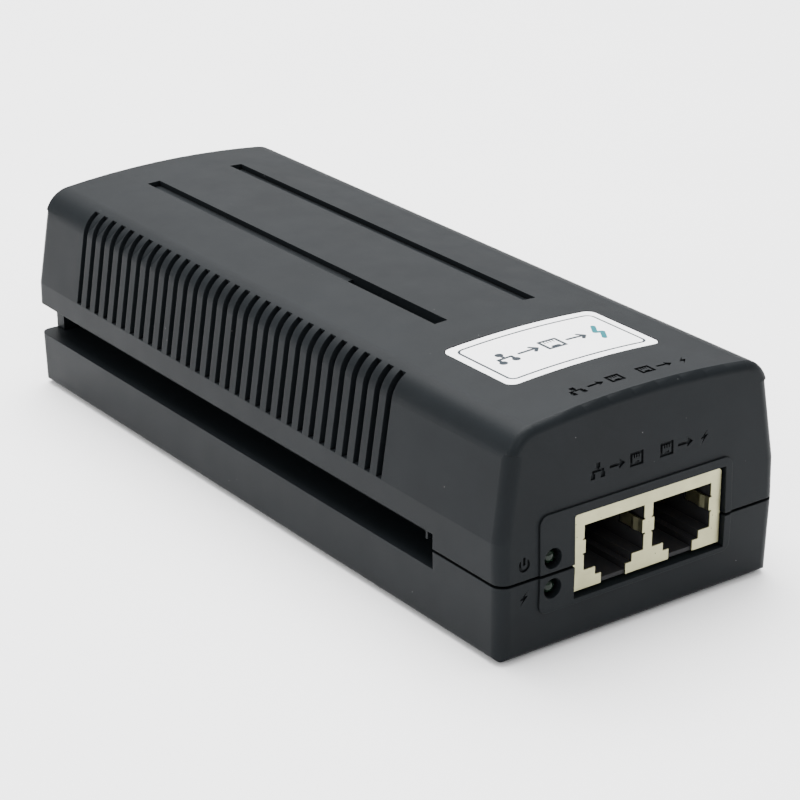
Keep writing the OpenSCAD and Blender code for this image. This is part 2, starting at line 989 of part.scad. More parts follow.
module main_board() {
    color("#2c5a3a")
        translate([0, 0, board_z])
            linear_extrude(board_t)
                difference() {
                    translate([-board_w / 2, board_near])
                        square([board_w, board_far - board_near]);
                    at_case_screws()
                        circle(boss_r + 0.9);
                    at_board_screws()
                        circle(1.2);
                }
}

// Self-tapping screw pointing up from z = 0, its head below
module pan_screw(shank_r, length, head_r, head_h) {
    dome_r = head_r * 1.25;
    difference() {
        rotate_extrude() {
            polygon([
                [0, -head_h / 2], [shank_r, -head_h / 2], [shank_r, length - shank_r], [0.2, length], [0, length]
            ]);
            intersection() {
                translate([0, dome_r - head_h])
                    circle(dome_r);
                translate([0, -head_h])
                    square([head_r, head_h]);
            }
        }
        for (turn = [0, 90])
            rotate([0, 0, turn])
                translate([-head_r * 0.6, -0.25, -head_h - 1])
                    cube([head_r * 1.2, 0.5, 2]);
    }
}

module case_screws() {
    color("#8b8f94")
        at_case_screws()
            translate([0, 0, head_seat_z])
                pan_screw(screw_r - 0.05, 16, screw_head_r, screw_head_h);
}

module board_screws() {
    color("#8b8f94")
        at_board_screws()
            translate([0, 0, deck_z])
                rotate([180, 0, 0])
                    pan_screw(0.85, 5.5, 1.9, 1.5);
}

module insulation_sheet() {
    color("#e6dfcb")
        translate([0, 0, base_z + wall])
            linear_extrude(0.2)
                difference() {
                    translate([-board_w / 2, board_near + 2])
                        square([board_w, board_far - board_near - 4]);
                    at_case_screws()
                        circle(boss_r + 1.1);
                    at_board_screws()
                        circle(post_r + 0.4);
                    at_feet()
                        circle(foot_d / 2 + 1.2);
                }
}

// Mains side ------------------------------------------------------------------

// Mouth shape of the inlet in x and z about its middle, two corners bevelled
module inlet_outline(w, h, bevel) {
    polygon([
        [-w / 2, -h / 2], [w / 2, -h / 2], [w / 2, h / 2 - bevel],
        [w / 2 - bevel, h / 2], [-w / 2 + bevel, h / 2], [-w / 2, h / 2 - bevel]
    ]);
}

pin_spots = [[-7, -2], [7, -2], [0, 2]];
cup_floor_y = inlet_face_y - cup_d;

module inlet_housing() {
    color("#1b1c1e")
        difference() {
            union() {
                translate([0, 0, inlet_z])
                    upright(inlet_face_y - flange, flange)
                        rounded_rect(inlet_w, inlet_h, 0.8);
                translate([0, 0, inlet_z])
                    upright(inlet_face_y - inlet_d, inlet_d - flange / 2)
                        rounded_rect(inlet_w - 0.6, inlet_h - 0.6, 0.8);
            }
            translate([0, 0, inlet_z])
                upright(cup_floor_y, cup_d + 1)
                    inlet_outline(cup_w, cup_h, cup_bevel);
            for (spot = pin_spots)
                translate([spot[0] - 1.02, inlet_face_y - inlet_d - 1, inlet_z + spot[1] - 2.02])
                    cube([2.04, inlet_d, 4.04]);
        }
}

module inlet_pins() {
    pin_w = 2;
    pin_h = 4;
    tail_y = inlet_face_y - inlet_d - 2;
    color("#c7c9cb")
        for (spot = pin_spots)
            translate([spot[0] - pin_w / 2, 0, inlet_z + spot[1] - pin_h / 2]) {
                translate([0, tail_y, 0])
                    cube([pin_w, inlet_face_y - 3.5 - tail_y, pin_h]);
                translate([0, tail_y, deck_z - inlet_z - spot[1] + pin_h / 2])
                    cube([pin_w, 0.8, inlet_z + spot[1] - deck_z]);
            }
}

fuse_spot = [-8, 45, deck_z + 4.6];
fuse_l = 20;
fuse_r = 2.5;

module fuse_tube() {
    color("#e9e7e1")
        translate(fuse_spot)
            rotate([0, 90, 0])
                cylinder(r = fuse_r - 0.15, h = fuse_l - 2, center = true);
}

module fuse_caps() {
    cap_l = 5;
    color("#c9ccd0")
        translate(fuse_spot)
            for (side = [-1, 1])
                rotate([0, side * 90, 0])
                    translate([0, 0, fuse_l / 2 - cap_l])
                        difference() {
                            cylinder(r = fuse_r, h = cap_l);
                            translate([0, 0, -1])
                                cylinder(r = fuse_r - 0.15, h = cap_l);
                        }
}

module fuse_clips() {
    clip_w = 3.2;
    clip_t = 0.4;
    color("#b8a46a")
        for (side = [-1, 1])
            translate([fuse_spot[0] + side * (fuse_l / 2 - 2.5) - clip_w / 2, fuse_spot[1], deck_z]) {
                for (y = [-fuse_r - clip_t, fuse_r])
                    translate([0, y, 0])
                        cube([clip_w, clip_t, fuse_spot[2] - deck_z + 1.5]);
                translate([0, -fuse_r - clip_t, 0])
                    cube([clip_w, 2 * (fuse_r + clip_t), clip_t]);
            }
}

// Upright disc on two leads, its middle above the spot; axis along Y
module leaded_disc(spot, r, thick, lift) {
    translate([spot[0], spot[1], deck_z + lift + r])
        rotate([90, 0, 0])
            rotate_extrude()
                intersection() {
                    union() {
                        square([r - thick / 2, thick]);
                        translate([r - thick / 2, thick / 2])
                            circle(thick / 2);
                    }
                    square([r, thick]);
                }
    for (side = [-1, 1])
        translate([spot[0] + side * r * 0.55, spot[1] - thick / 2, deck_z])
            cylinder(r = 0.35, h = lift + r * 0.6);
}

module surge_varistor() {
    color("#2f6fb0")
        leaded_disc([10, 47.5], 5, 3.6, 2.2);
}

module inrush_thermistor() {
    color("#39423a")
        leaded_disc([10, 41.5], 4.5, 4, 2.2);
}

// Closed box standing on the board about a spot
module part_box(spot, w, l, h, lift = 0) {
    translate([spot[0] - w / 2, spot[1] - l / 2, deck_z + lift])
        cube([w, l, h]);
}

module x_capacitor() {
    color("#d9b23a")
        difference() {
            part_box([-5, 36.5], 18, 8, 14.5);
            part_box([-5, 36.5], 14, 9, 0.5);
        }
}

choke_spot = [-7.5, 22.5];
choke_r = 8;
choke_hole_r = 4.4;
choke_h = 6;
choke_lift = 3.2;
coil_t = 0.7;

module choke_base() {
    color("#26282b")
        difference() {
            part_box(choke_spot, 19, 16, 2);
            part_box(choke_spot, 12, 9, 1, 1.2);
        }
}

module choke_core() {
    color("#4f7d57")
        translate([choke_spot[0], choke_spot[1], deck_z + choke_lift])
            rotate_extrude()
                translate([choke_hole_r, 0])
                    square([choke_r - choke_hole_r, choke_h]);
}

// Two windings of separate turns, left and right of the gap
module choke_windings() {
    turns = 7;
    step = 17;
    gap = 0.1;
    wrap_w = choke_r - choke_hole_r + 2 * gap;
    wrap_h = choke_h + 2 * gap;
    color("#a85f2c")
        translate([choke_spot[0], choke_spot[1], deck_z + choke_lift])
            for (side = [0, 180])
                for (i = [0 : turns - 1])
                    rotate([0, 0, side + (i - (turns - 1) / 2) * step])
                        rotate([90, 0, 0])
                            linear_extrude(coil_t, center = true)
                                difference() {
                                    translate([choke_hole_r - gap - coil_t, -gap - coil_t])
                                        square([wrap_w + 2 * coil_t, wrap_h + 2 * coil_t]);
                                    translate([choke_hole_r - gap, -gap])
                                        square([wrap_w, wrap_h]);
                                }
}

module bridge_rectifier() {
    spot = [10.5, 29];
    color("#1a1b1d") {
        part_box(spot, 15, 3.6, 11, 3.2);
        for (x = [-5.6, -1.9, 1.9, 5.6])
            part_box([spot[0] + x, spot[1]], 0.9, 0.6, 3.4);
    }
}

module bulk_capacitor() {
    r = 8;
    h = 25;
    color("#23304a")
        translate([-9.5, 4.5, deck_z])
            difference() {
                cylinder(r = r, h = h);
                translate([0, 0, 2.6])
                    rotate_extrude()
                        translate([r + 0.35, 0])
                            circle(0.8);
                translate([0, 0, h - 0.3])
                    cylinder(r = r - 0.8, h = 1);
                for (turn = [0, 90])
                    rotate([0, 0, turn])
                        translate([-r + 2, -0.2, h - 0.6])
                            cube([2 * r - 4, 0.4, 1]);
            }
}

sink_x = 15.2;
sink_h = 24;

module primary_heatsink() {
    color("#a9adb1") {
        part_box([sink_x + 1, 7], 2, 26, sink_h);
        for (i = [0 : 4])
            part_box([sink_x + 3, -4.5 + i * 5.6], 2.4, 1, sink_h);
    }
}

// Tabbed transistor about its spot, its tab against a plate at x = 0, facing -X
module tab_device() {
    case_w = 10;
    case_h = 9.5;
    tab_h = case_h + 6;
    lead_h = 4;
    lead_pitch = 2.54;
    translate([-4.5, -case_w / 2, lead_h])
        cube([3.2, case_w, case_h]);
    difference() {
        translate([-1.35, -case_w / 2, lead_h])
            cube([1.3, case_w, tab_h]);
        translate([-2, 0, lead_h + case_h + 3])
            rotate([0, 90, 0])
                cylinder(r = 1.7, h = 4);
    }
    for (y = [-lead_pitch, 0, lead_pitch])
        translate([-3, y - 0.4, 0])
            cube([0.5, 0.8, lead_h + 0.5]);
}

module power_transistor() {
    color("#1e1f21")
        translate([sink_x, 6, deck_z])
            tab_device();
}

// Chip with legs down both long flanks, long side along X
module chip(spot, w, l, h, count, pitch) {
    part_box(spot, w, l, h, 0.5);
    for (i = [0 : count - 1])
        for (side = [-1, 1])
            part_box(spot + [(i - (count - 1) / 2) * pitch, side * (l / 2 + 0.25)], 0.5, 0.6, 1.6);
}

module pwm_chip() {
    color("#1a1b1d")
        chip([4.2, 8], 9.6, 6.4, 3.4, 4, 2.54);
}

former_spot = [-2, -17];
core_w = 25;
core_h = 21;
core_t = 7.2;
core_lift = 4.2;
centre_leg = 7;
window_w = 6.2;
window_h = 14;

module transformer_core() {
    color("#3b3d3f")
        translate([former_spot[0], 0, deck_z + core_lift])
            upright(former_spot[1] - core_t / 2, core_t)
                difference() {
                    translate([-core_w / 2, 0])
                        square([core_w, core_h]);
                    for (side = [-1, 1])
                        translate([side * (centre_leg + window_w) / 2, core_h / 2])
                            square([window_w, window_h], center = true);
                }
}

// Ring of the winding space, drawn in plan about the centre leg
module former_ring(outer_x, outer_y, gap) {
    difference() {
        rounded_rect(2 * outer_x, 2 * outer_y, 2);
        square([centre_leg + 2 * gap, core_t + 2 * gap], center = true);
    }
}

former_z = deck_z + core_lift + (core_h - window_h) / 2;

module transformer_bobbin() {
    flange_t = 1;
    reach = centre_leg / 2 + window_w - 0.15;
    color("#e3ddcf")
        translate([former_spot[0], former_spot[1], 0]) {
            for (z = [former_z + 0.1, former_z + window_h - flange_t - 0.1])
                translate([0, 0, z])
                    linear_extrude(flange_t)
                        former_ring(reach, core_t / 2 + 6, 0.1);
            translate([0, 0, former_z + 0.1])
                linear_extrude(window_h - 0.2)
                    difference() {
                        square([centre_leg + 1.8, core_t + 1.8], center = true);
                        square([centre_leg + 0.2, core_t + 0.2], center = true);
                    }
            for (side = [-1, 1]) {
                translate([-reach, side * (core_t / 2 + 4) - 2.6, deck_z + 0.6])
                    cube([2 * reach, 5.2, former_z + 0.2 - deck_z - 0.6]);
                for (i = [-2 : 2])
                    translate([i * 3.8, side * (core_t / 2 + 4), deck_z])
                        cylinder(r = 0.4, h = 1);
            }
        }
}

module transformer_winding() {
    color("#c9a227")
        translate([former_spot[0], former_spot[1], former_z + 1.3])
            linear_extrude(window_h - 2.6)
                difference() {
                    rounded_rect(centre_leg + 2 * window_w - 1.2, core_t + 10.4, 3);
                    square([centre_leg + 2, core_t + 2], center = true);
                }
}

module y_capacitor() {
    color("#2f79b8")
        translate([14.6, -10, 0])
            rotate([0, 0, 90])
                leaded_disc([0, 0], 4, 3.2, 2);
}

module optocoupler() {
    color("#1a1b1d")
        chip([14.4, -18.5], 4.6, 6.4, 3.4, 2, 2.54);
}

module poe_controller() {
    color("#1a1b1d")
        chip([13.9, -26.5], 10, 4, 1.8, 8, 1.27);
}

out_sink_y = -31;

module output_heatsink() {
    color("#a9adb1") {
        part_box([-11, out_sink_y + 0.9], 16, 1.8, 22);
        for (x = [-18.5, -3.5])
            part_box([x, out_sink_y + 1.6], 1, 3.2, 22);
    }
}

module output_diode() {
    color("#1e1f21")
        translate([-11, out_sink_y, deck_z])
            rotate([0, 0, 90])
                tab_device();
}

module output_capacitors() {
    r = 4.8;
    h = 19;
    color("#1f3a2c")
        for (x = [3.6, 14.4])
            translate([x, -35.8, deck_z])
                difference() {
                    cylinder(r = r, h = h);
                    translate([0, 0, 2.2])
                        rotate_extrude()
                            translate([r + 0.3, 0])
                                circle(0.7);
                    translate([0, 0, h - 0.25])
                        cylinder(r = r - 0.6, h = 1);
                }
}

module output_inductor() {
    color("#54452f")
        translate([-7.5, -43.8, deck_z + 0.4]) {
            cylinder(r = 4.4, h = 1.2);
            translate([0, 0, 1])
                cylinder(r = 3.9, h = 9);
            translate([0, 0, 9.8])
                cylinder(r = 4.4, h = 1.2);
            for (y = [-2.2, 2.2])
                translate([0, y, -0.4])
                    cylinder(r = 0.4, h = 1);
        }
}

module line_transformers() {
    color("#1c1d20")
        chip([7, -45.6], 14.4, 6.6, 5.6, 8, 1.27);
}

// Drawing ----------------------------------------------------------------------

lower_shell();
upper_shell();
top_label();
rating_label();
rubber_feet();
case_screws();
main_board();
board_screws();
insulation_sheet();
jack_shield();
jack_insert();
contact_legs();
data_in_contacts();
poe_out_contacts();
lamp_holder();
power_lamp();
poe_lamp();
inlet_housing();
inlet_pins();
fuse_tube();
fuse_caps();
fuse_clips();
surge_varistor();
inrush_thermistor();
x_capacitor();
choke_core();
choke_windings();
choke_base();
bridge_rectifier();
bulk_capacitor();
primary_heatsink();
power_transistor();
pwm_chip();
transformer_core();
transformer_bobbin();
transformer_winding();
y_capacitor();
optocoupler();
output_heatsink();
output_diode();
output_capacitors();
output_inductor();
poe_controller();
line_transformers();
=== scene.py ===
"""Looks for a desktop power-over-Ethernet injector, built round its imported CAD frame.

Names that end in _mm are in millimetres, and so is everything printed on a label. The floor, the
lights and the camera are placed in metres.
"""
import json
import math

import bpy
from mathutils import Matrix, Vector


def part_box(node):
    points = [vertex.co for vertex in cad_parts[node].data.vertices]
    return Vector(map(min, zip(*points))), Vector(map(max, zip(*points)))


MM = 0.001

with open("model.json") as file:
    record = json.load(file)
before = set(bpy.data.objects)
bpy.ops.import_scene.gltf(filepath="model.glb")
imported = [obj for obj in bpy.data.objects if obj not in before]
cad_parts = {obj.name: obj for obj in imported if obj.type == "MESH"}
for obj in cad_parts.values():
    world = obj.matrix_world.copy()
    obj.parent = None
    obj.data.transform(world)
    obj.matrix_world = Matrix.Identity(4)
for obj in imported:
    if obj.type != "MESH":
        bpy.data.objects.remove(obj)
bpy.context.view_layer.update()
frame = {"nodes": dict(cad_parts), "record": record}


# Node-building helpers -----------------------------------------------------------------------

PRINT_EDGE = 0.02  # half the width over which a printed edge fades, in millimetres
EDGE_RAYS = 6  # samples of the nodes that feel for nearby surfaces
FLAT = 1e6  # a scale so large that height no longer counts


class Look:
    """A procedural material under construction: a Principled shader and object coordinates."""

    def __init__(self, name, colour, roughness, metallic=0.0):
        self.material = bpy.data.materials.new(name)
        self.material.use_nodes = True
        self.tree = self.material.node_tree
        self.shader = self.tree.nodes["Principled BSDF"]
        self.set(Base_Color=colour, Roughness=roughness, Metallic=metallic)
        self.coords = self.node("TexCoord").outputs["Object"]
        self.normal = None

    def feed(self, socket, value):
        """Gives an input a constant, or links it where the value is another node's output."""
        if isinstance(value, bpy.types.NodeSocket):
            self.tree.links.new(value, socket)
        elif socket.type == "RGBA":
            socket.default_value = (*value, 1.0)
        else:
            socket.default_value = value

    def node(self, kind, **inputs):
        """Adds a node and feeds its inputs; underscores stand for spaces."""
        node = self.tree.nodes.new("ShaderNode" + kind)
        for key, value in inputs.items():
            self.feed(node.inputs[key.replace("_", " ")], value)
        return node

    def set(self, **values):
        """Feeds inputs of the shader; underscores stand for spaces."""
        for key, value in values.items():
            self.feed(self.shader.inputs[key.replace("_", " ")], value)
        return self

    def source(self, key):
        """The output that feeds an input of the shader."""
        return self.shader.inputs[key].links[0].from_socket

    def scaled(self, size_mm, stretch=(1, 1, 1)):
        """Object coordinates in units of size_mm, stretched along the axes."""
        rate = 1.0 / (size_mm * MM)
        return self.node("Mapping", Vector=self.coords, Scale=[rate / s for s in stretch]).outputs["Vector"]

    def noise(self, size_mm, detail=2.0, roughness=0.5, stretch=(1, 1, 1)):
        """Noise with features of about size_mm."""
        coords = self.scaled(size_mm, stretch)
        node = self.node("TexNoise", Vector=coords, Scale=1.0, Detail=detail, Roughness=roughness)
        return node.outputs["Fac"]

    def cells(self, size_mm, feature="F1"):
        """Distance within cells of about size_mm, scattered at random."""
        node = self.node("TexVoronoi", Vector=self.scaled(size_mm), Scale=1.0)
        node.feature = feature
        return node.outputs["Distance"]

    def ramp(self, factor, low, high):
        """Blends between two stops, each given as (position, grey or colour)."""
        node = self.node("ValToRGB", Fac=factor)
        for element, (position, value) in zip(node.color_ramp.elements, (low, high)):
            element.position = position
            element.color = (*(value if isinstance(value, (tuple, list)) else [value] * 3), 1.0)
        return node.outputs["Color"]

    def clouded(self, factor, low, high, spread=0.2):
        """Blends from low to high while a noise passes through the middle of its range."""
        return self.ramp(factor, (0.5 - spread, low), (0.5 + spread, high))

    def maths(self, operation, *values, kind="Math"):
        """The result of an operation on numbers, or on vectors where the kind is VectorMath."""
        node = self.node(kind)
        node.operation = operation
        for socket, value in zip(node.inputs, values):
            self.feed(socket, value)
        return node.outputs["Value" if kind == "Math" or operation == "LENGTH" else "Vector"]

    def mix(self, factor, a, b):
        """Blends two colours."""
        node = self.node("Mix")
        node.data_type = "RGBA"
        sockets = {socket.identifier: socket for socket in [*node.inputs, *node.outputs]}
        self.feed(sockets["Factor_Float"], factor)
        self.feed(sockets["A_Color"], a)
        self.feed(sockets["B_Color"], b)
        return sockets["Result_Color"]

    def lit_by(self, node):
        """Makes the normal of a node the one that the surface is lit by."""
        self.normal = node.outputs["Normal"]
        return self.set(Normal=self.normal)

    def bump(self, height, depth_mm):
        node = self.node("Bump", Height=height, Distance=depth_mm * MM)
        if self.normal is not None:
            self.feed(node.inputs["Normal"], self.normal)
        return self.lit_by(node)

    def rounded(self, radius_mm):
        """Lets light roll over sharp edges as on a small radius. Comes before any bump."""
        node = self.node("Bevel", Radius=radius_mm * MM)
        node.samples = EDGE_RAYS
        return self.lit_by(node)

    def facing(self, axis):
        """How squarely the surface faces along an axis, either way."""
        normal = self.node("NewGeometry").outputs["Normal"]
        return self.maths("ABSOLUTE", self.node("SeparateXYZ", Vector=normal).outputs[axis])

    def openness(self, reach_mm):
        """How open the surface is to its surroundings: near 0 inside a groove or an engraved mark."""
        node = self.node("AmbientOcclusion", Distance=reach_mm * MM)
        node.samples = EDGE_RAYS
        return node.outputs["AO"]

    def distance(self, centre, size, radius, angle=0.0):
        """Distance in millimetres to a rounded rectangle lying in the XY plane, negative inside it."""
        local = self.node(
            "Mapping", Vector=self.coords,
            Location=(centre[0] * MM, centre[1] * MM, 0), Rotation=(0, 0, angle), Scale=(MM, MM, FLAT),
        )
        local.vector_type = "TEXTURE"
        core = (size[0] / 2 - radius, size[1] / 2 - radius, 0)
        value = self.maths("ABSOLUTE", local.outputs["Vector"], kind="VectorMath")
        value = self.maths("SUBTRACT", value, core, kind="VectorMath")
        value = self.maths("MAXIMUM", value, (0, 0, 0), kind="VectorMath")
        return self.maths("SUBTRACT", self.maths("LENGTH", value, kind="VectorMath"), radius)

    def within(self, distance, limit=0.0):
        """1 where the distance is under the limit and 0 where it is over, with a narrow fade."""
        node = self.node("MapRange", Value=distance, From_Min=limit + PRINT_EDGE, From_Max=limit - PRINT_EDGE)
        return node.outputs["Result"]

    def printed(self, strokes):
        """Mask of round-ended strokes, each given as (start, end, width)."""
        mask = 0.0
        for start, end, width in strokes:
            run, rise = end[0] - start[0], end[1] - start[1]
            centre = ((start[0] + end[0]) / 2, (start[1] + end[1]) / 2)
            size = (math.hypot(run, rise) + width, width)
            away = self.distance(centre, size, width / 2, math.atan2(rise, run))
            mask = self.maths("MAXIMUM", self.within(away), mask)
        return mask

    def outlined(self, centre, size, radius, width):
        """Mask of a rounded rectangle's outline."""
        away = self.distance(centre, size, radius)
        return self.within(self.maths("ABSOLUTE", away), width / 2)


def shade(colour, factor):
    return [channel * factor for channel in colour]


# Pictograms: strokes about a middle, each (start, end, width) -----------------------------------

def placed(strokes, middle, size=1.0):
    return [
        (*((middle[0] + x * size, middle[1] + y * size) for x, y in (start, end)), width * size)
        for start, end, width in strokes
    ]


def path(points, width):
    return [(a, b, width) for a, b in zip(points, points[1:])]


def dots(points, width):
    return [(point, point, width) for point in points]


NETWORK = (
    path([(0, 0.75), (0, 0)], 0.4)
    + path([(-0.85, -0.6), (-0.85, 0), (0.85, 0), (0.85, -0.6)], 0.4)
    + dots([(0, 1.0), (-0.85, -0.9), (0.85, -0.9)], 0.95)
)
ARROW = path([(-1.2, 0), (1.2, 0)], 0.42) + path([(0.6, 0.6), (1.2, 0), (0.6, -0.6)], 0.42)
SOCKET = (
    path([(-1.1, -1), (-1.1, 1), (1.1, 1), (1.1, -1), (-1.1, -1)], 0.4)
    + path([(-0.35, -0.7), (0.35, -0.7)], 0.5)
    + [((x, 0.4), (x, 0.8), 0.18) for x in (-0.6, -0.2, 0.2, 0.6)]
)
BOLT = path([(0.45, 1.35), (-0.35, 0.1), (0.35, -0.1), (-0.45, -1.35)], 0.5)


# Casing and other mouldings ------------------------------------------------------------------

def moulded(name, colour, roughness, grain_mm, grain_depth_mm, edge_mm=0.0):
    """Spark-eroded moulded plastic: fine grain and faint mottling."""
    look = Look(name, colour, roughness)
    if edge_mm:
        look.rounded(edge_mm)
    mottle = look.clouded(look.noise(14, detail=4), shade(colour, 0.9), shade(colour, 1.1))
    sheen = look.clouded(look.noise(6, detail=5), roughness - 0.02, roughness + 0.03)
    look.set(Base_Color=mottle, Roughness=sheen)
    return look.bump(look.noise(grain_mm, detail=3, roughness=0.65), grain_depth_mm)


def casing_look():
    """Charcoal casing: satin plastic with a few specks of dust, dull inside its grooves and darkened there
    with painted shade.
    """
    dust_colour = (0.16, 0.16, 0.155)
    painted_groove_shade = (0.0012, 0.0014, 0.0016)
    groove_roughness = (0.85, 0.85, 0.85)
    look = moulded(
        "casing_plastic", (0.0055, 0.0068, 0.0079), 0.44, grain_mm=0.25, grain_depth_mm=0.012, edge_mm=0.14
    )
    specks = look.ramp(look.cells(4.2), (0.012, 1.0), (0.02, 0.0))
    dusty = look.mix(specks, look.source("Base Color"), dust_colour)
    # Painted shade: where the occlusion node finds the surface enclosed (grooves, engraved marks, vents, the
    # seam), the colour is blended towards near black and the surface made duller
    open_air = look.ramp(look.openness(0.7), (0.35, 0.0), (0.8, 1.0))
    look.set(
        Base_Color=look.mix(open_air, painted_groove_shade, dusty),
        Roughness=look.mix(open_air, groove_roughness, look.source("Roughness")),
        Specular_IOR_Level=0.065,
    )
    return look.material


def plastic(name, colour, roughness):
    """Smoother moulding, for parts inside the casing."""
    look = moulded(name, colour, roughness, grain_mm=0.35, grain_depth_mm=0.01)
    return look.set(Specular_IOR_Level=0.15).material


def lens(name):
    """Unlit tinted epoxy: cloudy and green in the middle of its dome, with painted shade darkening it towards
    the rim, polished.
    """
    look = Look(name, (0.015, 0.05, 0.022), 0.16)
    body = look.clouded(look.noise(1.2), (0.0022, 0.0062, 0.0032), (0.0045, 0.0125, 0.0065))
    # Painted shade: the dome's colour darkens to near black as its surface turns away from facing along Y,
    # towards the rim
    middle = look.ramp(look.facing("Y"), (0.62, 0.0), (0.93, 1.0))
    look.set(
        Base_Color=look.mix(middle, (0.003, 0.006, 0.004), body),
        Roughness=look.clouded(look.noise(0.8), 0.12, 0.22),
        Transmission_Weight=0.1,
        Specular_IOR_Level=0.15,
    )
    return look.material


# Labels --------------------------------------------------------------------------------------

def film_label(name, colour, darkest):
    """Printed film: faint orange peel and tiny ink variation."""
    look = Look(name, colour, 0.45)
    look.set(
        Base_Color=look.clouded(look.noise(5, detail=4), shade(colour, darkest), colour, spread=0.15),
        Roughness=look.clouded(look.noise(3), 0.38, 0.5),
        Specular_IOR_Level=0.08,
    )
    return look.bump(look.noise(1.2), 0.004)


def inked(look, layers):
    """Prints each (mask, colour) over the film, with a just visible thickness of ink."""
    thickness_mm = 0.008
    for mask, colour in layers:
        look.set(Base_Color=look.mix(mask, look.source("Base Color"), colour))
        look.bump(mask, thickness_mm)
    return look.material


def label_area(name, margin_x, margin_y):
    """Middle of a label, and its size inside the margins."""
    low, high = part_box(name)
    middle = [(a + b) / 2 / MM for a, b in zip(low[:2], high[:2])]
    size = [(b - a) / MM - 2 * margin for a, b, margin in zip(low[:2], high[:2], (margin_x, margin_y))]
    return middle, size


def top_label_look():
    """White film with a ruled border and pictograms: network, socket and power."""
    look = film_label("label_film", (0.9, 0.9, 0.91), 0.97)
    (x, y), inside = label_area("top_label", 1.6, 1.7)
    glyph_size, bolt_size = 1.5, 1.8
    row = [(NETWORK, -9.6), (ARROW, -4.9), (SOCKET, 0), (ARROW, 4.9)]
    strokes = [stroke for glyph, offset in row for stroke in placed(glyph, (x + offset, y), glyph_size)]
    slate = look.maths("MAXIMUM", look.printed(strokes), look.outlined((x, y), inside, 1.2, 0.45))
    teal = look.printed(placed(BOLT, (x + 9.7, y), bolt_size))
    return inked(look, [(slate, (0.012, 0.018, 0.024)), (teal, (0.003, 0.11, 0.13))])


def rating_label_look():
    """Silver film under the casing: border, ruled rows and two pictograms."""
    look = film_label("rating_film", (0.42, 0.43, 0.44), 0.9)
    middle, inside = label_area("rating_label", 1.5, 1.5)
    row_heights = [20 - 6 * i for i in range(6)]
    rule_width = 0.25
    rows = [((-16, height), (16, height), rule_width) for height in row_heights]
    column = [((-2, row_heights[0]), (-2, row_heights[-1]), rule_width)]
    marks = placed(NETWORK, (-9, -21), 3) + placed(BOLT, (9, -21), 3.2)
    lines = look.printed(placed(rows + column + marks, middle))
    ink = look.maths("MAXIMUM", lines, look.outlined(middle, inside, 1, 0.4))
    return inked(look, [(ink, (0.03, 0.032, 0.035))])


# Metal, rubber and components ----------------------------------------------------------------

def sheet_metal(name, colour, roughness, grain=(12, 1, 1), pitted=False):
    """Rolled and plated sheet: fine lengthwise scratches over a soft cloudiness, perhaps a few pits."""
    look = Look(name, colour, roughness, metallic=1.0)
    scratch = look.noise(0.22, detail=4, roughness=0.7, stretch=grain)
    tint = look.clouded(look.noise(3.5, detail=3), shade(colour, 0.84), colour)
    if pitted:
        pits = look.ramp(look.cells(1.7), (0.05, 1.0), (0.08, 0.0))
        tint = look.mix(pits, tint, shade(colour, 0.3))
    look.set(Base_Color=tint, Roughness=look.clouded(scratch, roughness - 0.07, roughness + 0.1))
    return look.bump(scratch, 0.004).material


def rubber(name, colour):
    """Dull moulded rubber with a fine grain."""
    look = Look(name, colour, 0.8)
    look.set(Base_Color=look.clouded(look.noise(2, detail=4), shade(colour, 0.7), colour))
    return look.bump(look.noise(0.3, detail=3), 0.02).material


def laminate(name):
    """Circuit board: solder mask over bare glass laminate and raised copper areas."""
    laminate_green, copper_green = (0.03, 0.19, 0.07), (0.012, 0.1, 0.035)
    look = Look(name, laminate_green, 0.35)
    pour = look.ramp(look.cells(4.5, "DISTANCE_TO_EDGE"), (0.04, 0.0), (0.06, 1.0))
    look.set(
        Base_Color=look.mix(pour, laminate_green, copper_green),
        Roughness=look.clouded(look.noise(2), 0.28, 0.4),
    )
    return look.bump(pour, 0.03).material


def pressed_board(name, colour):
    """Insulating board of pressed fibres that lie along its length."""
    look = Look(name, colour, 0.75)
    fibres = look.noise(0.8, detail=5, stretch=(3, 1, 1))
    look.set(Base_Color=look.clouded(fibres, shade(colour, 0.8), colour))
    return look.bump(look.noise(0.4, detail=3), 0.02).material


def glossy(name, colour, roughness=0.25):
    """Dipped or sleeved component: gloss with slight sagging."""
    look = Look(name, colour, roughness)
    look.set(
        Base_Color=look.clouded(look.noise(4, detail=3), shade(colour, 0.75), colour),
        Roughness=look.clouded(look.noise(2), roughness - 0.06, roughness + 0.08),
    )
    return look.bump(look.noise(2.5), 0.03).material


def outer_finishes():
    """Materials for what is seen from outside, by the record's material slots."""
    return {
        "casing": casing_look(),
        "top_label": top_label_look(),
        "rating_label": rating_label_look(),
        "rubber_feet": rubber("foot_rubber", (0.02, 0.02, 0.022)),
        "screw_steel": sheet_metal("screw_zinc", (0.55, 0.56, 0.58), 0.35, grain=(1, 1, 1)),
        "jack_shield": sheet_metal("shield_nickel", (0.345, 0.335, 0.205), 0.38, pitted=True),
        "contact_gold": sheet_metal("contact_plating", (0.9, 0.66, 0.28), 0.25, grain=(1, 6, 1)),
        "black_plastic": plastic("black_moulding", (0.012, 0.012, 0.013), 0.48),
        "lamp_lens": lens("lamp_epoxy"),
        "tinned_metal": sheet_metal("tin_plating", (0.5, 0.5, 0.49), 0.25, grain=(1, 5, 1)),
    }


